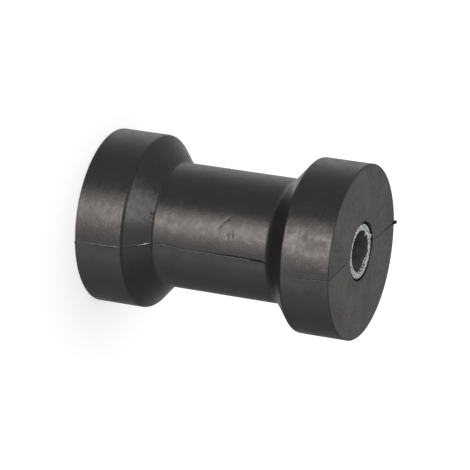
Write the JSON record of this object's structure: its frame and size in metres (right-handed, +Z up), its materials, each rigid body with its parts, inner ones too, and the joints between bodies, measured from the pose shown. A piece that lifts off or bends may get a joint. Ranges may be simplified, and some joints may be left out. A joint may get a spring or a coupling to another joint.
{
  "type": "boat trailer roller",
  "caption": "Waisted keel roller for a boat trailer: a black rubber reel with wide rims, conical shoulders and a plain barrel, moulded on a full-length steel bush.",
  "frame": {"origin": "centre of the lower end face of the rubber, on the bore axis", "axes": "+Z up along the bore axis; the line left by the mould lies in the YZ plane; +X and +Y are equal"},
  "size_m": [0.075, 0.0756, 0.1155],
  "materials": {
    "rubber": "moulded black rubber, satin on the turned faces and dull on the end faces",
    "steel": "cut tube end, dull and grainy, dark inside the bore"
  },
  "bodies": {
    "root": {"rubber_roller": "rubber", "steel_bush": "steel"}
  },
  "joints": []
}
